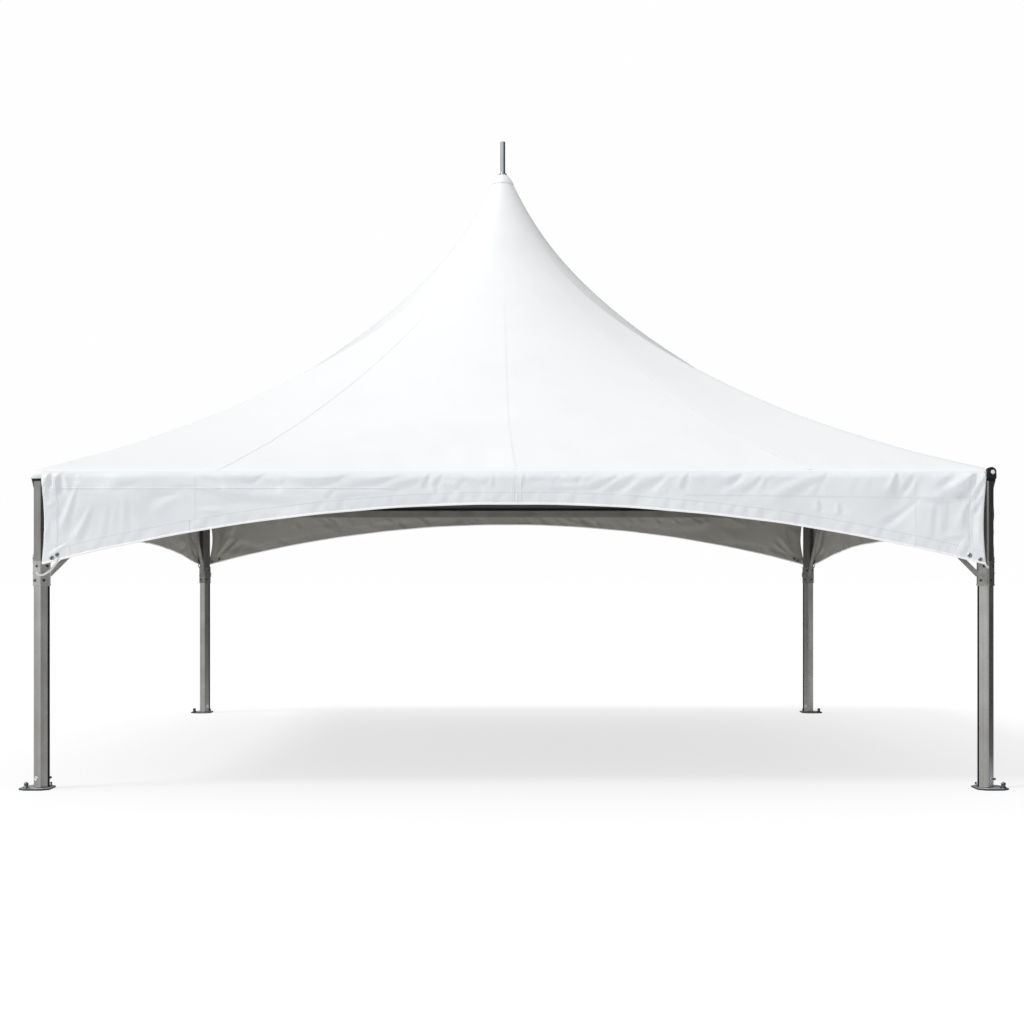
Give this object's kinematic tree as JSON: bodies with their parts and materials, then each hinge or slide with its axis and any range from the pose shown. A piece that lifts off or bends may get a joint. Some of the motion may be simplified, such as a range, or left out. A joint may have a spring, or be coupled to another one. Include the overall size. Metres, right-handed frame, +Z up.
{
  "type": "marquee tent",
  "caption": "Square frame marquee: a tall concave peaked fabric roof and arched valances on aluminium legs, with knee braces, crossed cables, a mast and base plates.",
  "frame": {"origin": "on the ground at the centre of the plan, level with the undersides of the base plates", "axes": "+Z up, -Y towards the front, +X to the right of someone facing the front from outside"},
  "size_m": [6.356, 6.34, 4.974],
  "materials": {
    "roof_fabric": "white PVC coated polyester, semi-gloss",
    "valance_fabric": "white PVC coated polyester, semi-gloss, softly creased",
    "cap_fabric": "white PVC coated polyester cone",
    "leg_aluminium": "mill finish extrusion with fine vertical lines",
    "beam_aluminium": "mill finish extrusion",
    "brace_aluminium": "mill finish flat bar",
    "collar_casting": "sand cast, lightly tumbled",
    "corner_casting": "black powder coat",
    "plate_steel": "zinc plated, dulled",
    "mast_aluminium": "mill finish tube",
    "spike_steel": "zinc plated rod",
    "cable_steel": "galvanised wire rope"
  },
  "bodies": {
    "root": {"base_plate_front_left": "plate_steel", "base_plate_front_right": "plate_steel", "base_plate_back_left": "plate_steel", "base_plate_back_right": "plate_steel", "lower_leg_front_left": "leg_aluminium", "lower_leg_front_right": "leg_aluminium", "lower_leg_back_left": "leg_aluminium", "lower_leg_back_right": "leg_aluminium", "leg_collar_front_left": "collar_casting", "leg_collar_front_right": "collar_casting", "leg_collar_back_left": "collar_casting", "leg_collar_back_right": "collar_casting", "upper_post_front_left": "leg_aluminium", "upper_post_front_right": "leg_aluminium", "upper_post_back_left": "leg_aluminium", "upper_post_back_right": "leg_aluminium", "corner_fitting_front_left": "corner_casting", "corner_fitting_front_right": "corner_casting", "corner_fitting_back_left": "corner_casting", "corner_fitting_back_right": "corner_casting", "front_eave_beam": "beam_aluminium", "back_eave_beam": "beam_aluminium", "left_eave_beam": "beam_aluminium", "right_eave_beam": "beam_aluminium", "front_knee_brace_left": "brace_aluminium", "front_knee_brace_right": "brace_aluminium", "left_knee_brace_front": "brace_aluminium", "left_knee_brace_back": "brace_aluminium", "right_knee_brace_front": "brace_aluminium", "right_knee_brace_back": "brace_aluminium", "front_roof_panel": "roof_fabric", "back_roof_panel": "roof_fabric", "left_roof_panel": "roof_fabric", "right_roof_panel": "roof_fabric", "front_valance": "valance_fabric", "back_valance": "valance_fabric", "left_valance": "valance_fabric", "right_valance": "valance_fabric", "peak_cap": "cap_fabric", "mast": "mast_aluminium", "mast_foot": "collar_casting", "mast_spike": "spike_steel", "cross_cable_front_left": "cable_steel", "cross_cable_front_right": "cable_steel", "cross_cable_back_left": "cable_steel", "cross_cable_back_right": "cable_steel"}
  },
  "joints": []
}
